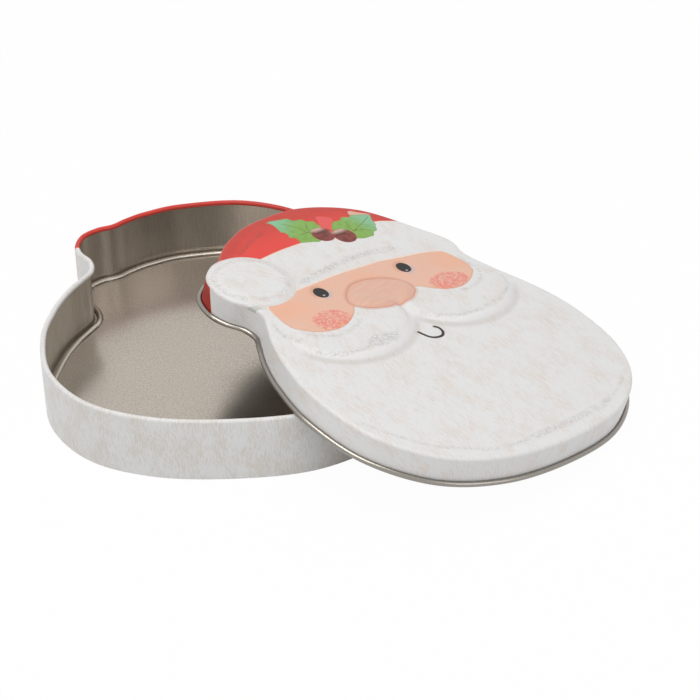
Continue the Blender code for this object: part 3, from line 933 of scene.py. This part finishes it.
def make_body_wall():
    printed, bare = wall_sides()
    sheet = Sheet()
    starts = sheet.add_rings(rings_of(printed), 0)
    bare_starts = sheet.add_rings(rings_of(bare[::-1]), 1)
    sheet.join_rings([starts[-1], bare_starts[0]], 1)
    sheet.join_rings([bare_starts[-1], starts[0]], 0)
    materials = [body_print(), tinplate("wall_tinplate")]
    wall = sheet.build("body_wall_sheet", materials, body_matrix())

    around = around_mm()
    level = np.zeros(len(around))
    hat_art = hat_distance(OUTLINE / MM + (0, BODY_HAT_SHIFT_MM))
    places, metal_places, art = [], [], []
    for side in (printed, bare[::-1]):
        for distance, (_, height) in zip(path_lengths(side) / MM, side):
            places.append(np.column_stack([around, level - distance, level]))
            metal_places.append(np.column_stack([around, level + height / MM, level]))
            art.append(np.column_stack([hat_art, level, level]))
    add_vectors(wall, "print_place", np.vstack(places))
    add_vectors(wall, "metal_place", np.vstack(metal_places))
    add_vectors(wall, "wall_art", np.vstack(art))
    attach(wall, "body")
    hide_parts("body_wall")


def floor_waves(points, edge_distance):
    """A thin floor is never quite flat: long shallow waves that fade out towards the edge."""
    waves = []
    for turn, closeness in FLOOR_WAVES:
        along = points @ (math.cos(turn), math.sin(turn))
        waves.append(np.sin(2 * math.pi * closeness * along / FLOOR_WAVE_LENGTH + turn))
    return FLOOR_WAVE * np.sum(waves, axis=0) * smooth(edge_distance / (2 * FLOOR_SPACING))


def floor_spacing(points):
    return np.full(len(points), FLOOR_SPACING)


def make_bottom_plate():
    upper, lower = plate_sides()
    sheet = Sheet()
    starts = sheet.add_rings(rings_of(upper), 0)
    lower_starts = sheet.add_rings(rings_of(lower), 0)
    sheet.join_rings([starts[0], lower_starts[0]], 0)
    for side, first in ((upper, starts[-1]), (lower, lower_starts[-1])):
        sheet.fill(first, side[-1], floor_spacing, floor_waves, 0)
    plate = sheet.build("bottom_plate_sheet", [tinplate("floor_tinplate")], body_matrix())
    add_vectors(plate, "metal_place", sheet.points() / MM)
    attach(plate, "body")
    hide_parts("bottom_plate")


def embossed_spacing(points, plain=UNDERSIDE_SPACING):
    """How close a net of the lid is at each point: closer on the slopes of the embossing."""
    inward, outward = SLOPE_MARGINS
    spacing = np.full(len(points), plain)
    for middle, half, (bottom, _), _ in embossed_ovals():
        radius = np.linalg.norm((points - middle) / half, axis=1)
        sloping = (radius > 1 - inward * bottom) & (radius < 1 + outward * bottom)
        spacing[sloping] = EMBOSSED_SPACING
    return spacing


def printed_spacing(points):
    """The spacing on the printed side, where the fine print also needs a close net."""
    flat = points / MM
    spacing = embossed_spacing(points, PLAIN_SPACING)
    leaves = [closed_distance(flat, leaf_outline(leaf)) for leaf in LEAVES_MM]
    fine = np.min(leaves, axis=0) < FINE_MARGIN_MM
    fine |= oval_distance(flat, *BERRIES_MM, *EYES_MM) < FINE_MARGIN_MM
    fine |= open_distance(flat, open_curve(SMILE_MM)) < SMILE_MARGIN_MM
    spacing[fine] = FINE_SPACING
    return spacing


def art_fields(points_mm, edge_mm, skirt_depth_mm):
    """Distances from each point to the shapes of the lid's print, and other numbers, by name."""
    leaves = [closed_distance(points_mm, leaf_outline(leaf)) for leaf in LEAVES_MM]
    shares = []
    for root, tip in np.array(LEAF_AXES_MM):
        shares.append((points_mm - root) @ (tip - root) / ((tip - root) @ (tip - root)))
    middles = np.array([eye[:2] for eye in EYES_MM])
    from_eye = points_mm - np.where(points_mm[:, :1] < middles[:, 0].mean(), middles[0], middles[1])
    lobes = [np.concatenate([middle, half]) / MM for middle, half, _, _ in embossed_ovals()[:2]]
    pencil_lines = open_distance(points_mm, *map(open_curve, PENCIL_LINES_MM))
    slanted = points_mm + np.outer(skirt_depth_mm, (0, HAT_SKIRT_SLANT))
    return {
        "hat": hat_distance(slanted),
        "face": closed_distance(points_mm, closed_curve(FACE_MM, CURVE_STEPS)),
        "pompom": oval_distance(points_mm, *POMPOM_MM),
        "nose": closed_distance(points_mm, closed_curve(NOSE_MM, CURVE_STEPS)),
        "eyes": oval_distance(points_mm, *EYES_MM),
        "cheeks": oval_distance(points_mm, *CHEEKS_MM),
        "edge": edge_mm,
        "across": points_mm[:, 0],
        "up": points_mm[:, 1],
        "fur_line": open_distance(points_mm, open_curve(FUR_LINE_MM)),
        "pencil_lines": np.minimum(pencil_lines, oval_distance(points_mm, HATCHING_MM)),
        "beard_line": open_distance(points_mm, open_curve(BEARD_LINE_MM)),
        "smile": open_distance(points_mm, open_curve(SMILE_MM)) - SMILE_HALF_WIDTH_MM,
        "lobes": oval_distance(points_mm, *lobes),
        "hat_line": open_distance(points_mm, open_curve(HAT_LINE_MM)),
        "leaf": np.min(leaves, axis=0),
        "vein": open_distance(points_mm, *map(open_curve, VEINS_MM)),
        "leaf_share": np.where(leaves[0] < leaves[1], *shares),
        "berry": oval_distance(points_mm, *BERRIES_MM),
        "berry_top": oval_distance(points_mm, *BERRY_TOPS_MM),
        "eye_light": oval_distance(points_mm, *EYE_LIGHTS_MM),
        "pink_highlight": closed_distance(points_mm, closed_curve(PINK_HIGHLIGHT_MM, CURVE_STEPS)),
        "peach_highlight": closed_distance(points_mm, closed_curve(PEACH_HIGHLIGHT_MM, CURVE_STEPS)),
        "eye_side": from_eye @ (math.cos(EYE_SHADE_TURN), math.sin(EYE_SHADE_TURN)),
    }


def make_lid():
    bare, printed = lid_sides()
    sheet = Sheet()
    bare_starts = sheet.add_rings(rings_of(bare), 0)
    starts = sheet.add_rings(rings_of(printed), 1)
    sheet.join_rings([bare_starts[-1], starts[-1]], 0)
    panels = [
        sheet.fill(bare_starts[0], bare[0], embossed_spacing, emboss_heights, 0),
        sheet.fill(starts[0], printed[0], printed_spacing, emboss_heights, 1),
    ]
    lid = sheet.build("lid_sheet", [tinplate("shaded_lid_tinplate"), lid_print()], lid_matrix())

    # On the shoulder and the skirt the blank goes on outward, with edge distances below zero
    around = around_mm()
    places, metal_places, art_places, edges = [], [], [], []
    for side in (bare, printed):
        border = offset(OUTLINE, side[0][0])
        for distance, (outset, _) in zip(path_lengths(side), side):
            places.append(border + distance * outward_of(OUTLINE))
            metal_places.append(np.column_stack([np.full(len(around), distance / MM), around]))
            art_places.append(offset(OUTLINE, min(outset, 0)))
            edges.append(np.full(len(around), -distance))
    for net, edge_distance in panels:
        places.append(net)
        metal_places.append(net / MM)
        art_places.append(net)
        edges.append(edge_distance)
    edge_mm = np.concatenate(edges) / MM
    level = np.zeros(len(edge_mm))
    add_vectors(lid, "print_place", np.column_stack([np.vstack(places) / MM, level]))
    add_vectors(lid, "metal_place", np.column_stack([np.vstack(metal_places), level]))
    art = art_fields(np.vstack(art_places) / MM, edge_mm, np.maximum(-edge_mm, 0))
    for attribute, names in PRINT_FIELDS.items():
        add_vectors(lid, attribute, np.column_stack([art[name] for name in names]))
    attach(lid, "lid")
    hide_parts("lid")


# Stage

FLOOR_SIZE = 6.0
FLOOR_GLOW = 0.97
FLOOR_TONE = 0.80
WORLD_LIGHT = 0.47
CAMERA_ELEVATION = 0.5894
CAMERA_TURN = -0.0679
CAMERA_TARGET = (0.05467, 0.01408, 0)
CAMERA_DISTANCE = 0.8313865
CAMERA_LENS = 93.301
CAMERA_SENSOR = 36

# Lamps: place, size, power and colour
LAMPS = [
    ("key", (-0.40, -0.25, 1.30), 0.9, 10.5, (1.0, 0.99, 0.97)),
    ("fill", (0.95, -0.75, 0.75), 0.9, 3.0, (0.97, 0.98, 1.0)),
]


def seen_share(graph):
    """1 for the rays that the camera or a mirror sees."""
    path = graph.node("ShaderNodeLightPath")
    seen = Field(graph, path.outputs["Is Camera Ray"])
    for name in ("Is Glossy Ray", "Is Transmission Ray"):
        seen = seen.most(Field(graph, path.outputs[name]))
    return seen


def show_seen(graph, output, share, hidden, seen):
    """Ends the nodes with one shader for the share of seen rays and another for the rest."""
    feeds = {0: share, 1: hidden.outputs[0], 2: seen.outputs[0]}
    both = graph.node("ShaderNodeMixShader", feeds)
    graph.node(output, {0: both.outputs[0]})


def make_world():
    world = bpy.data.worlds.new("studio")
    bpy.context.scene.world = world
    world.use_nodes = True
    graph = Graph(world.node_tree)
    world.node_tree.nodes.clear()
    dim = graph.node("ShaderNodeBackground", {"Color": (1, 1, 1, 1), "Strength": WORLD_LIGHT})
    white = graph.node("ShaderNodeBackground", {"Color": (1, 1, 1, 1), "Strength": 1.0})
    show_seen(graph, "ShaderNodeOutputWorld", seen_share(graph), dim, white)


def make_floor():
    """A white floor that glows for the camera, so that it meets the white world without an edge."""
    half = FLOOR_SIZE / 2
    mesh = bpy.data.meshes.new("floor")
    corners = [(-half, -half, 0), (half, -half, 0), (half, half, 0), (-half, half, 0)]
    mesh.from_pydata(corners, [], [(0, 1, 2, 3)])
    floor = bpy.data.objects.new("floor", mesh)
    bpy.context.scene.collection.objects.link(floor)
    material = bpy.data.materials.new("floor")
    material.use_nodes = True
    graph = Graph(material.node_tree)
    material.node_tree.nodes.clear()
    matt = graph.node("ShaderNodeBsdfDiffuse", {"Color": (FLOOR_TONE, FLOOR_TONE, FLOOR_TONE, 1)})
    glow = graph.node("ShaderNodeEmission", {"Color": (1, 1, 1, 1), "Strength": 1.0})
    show_seen(graph, "ShaderNodeOutputMaterial", seen_share(graph) * FLOOR_GLOW, matt, glow)
    mesh.materials.append(material)


def make_lamps():
    for name, place, size, power, colour in LAMPS:
        data = bpy.data.lights.new(name, "AREA")
        data.size = size
        data.energy = power
        data.color = colour
        lamp = bpy.data.objects.new(name, data)
        lamp.location = place
        lamp.rotation_euler = (-Vector(place)).to_track_quat("-Z", "Y").to_euler()
        bpy.context.scene.collection.objects.link(lamp)


def make_camera():
    forward = Vector((0, math.cos(CAMERA_ELEVATION), -math.sin(CAMERA_ELEVATION)))
    turn = Matrix.Rotation(CAMERA_TURN, 3, "Z")
    data = bpy.data.cameras.new("camera")
    data.lens = CAMERA_LENS
    data.sensor_width = CAMERA_SENSOR
    camera = bpy.data.objects.new("camera", data)
    from_body = turn @ (Vector(CAMERA_TARGET) - CAMERA_DISTANCE * forward)
    camera.location = from_body + Vector(BODY_PLACE)
    camera.rotation_euler = (turn @ forward).to_track_quat("-Z", "Y").to_euler()
    bpy.context.scene.collection.objects.link(camera)
    bpy.context.scene.camera = camera


make_body_wall()
make_bottom_plate()
make_lid()
make_world()
make_floor()
make_lamps()
make_camera()
bpy.context.scene.view_settings.view_transform = "Standard"
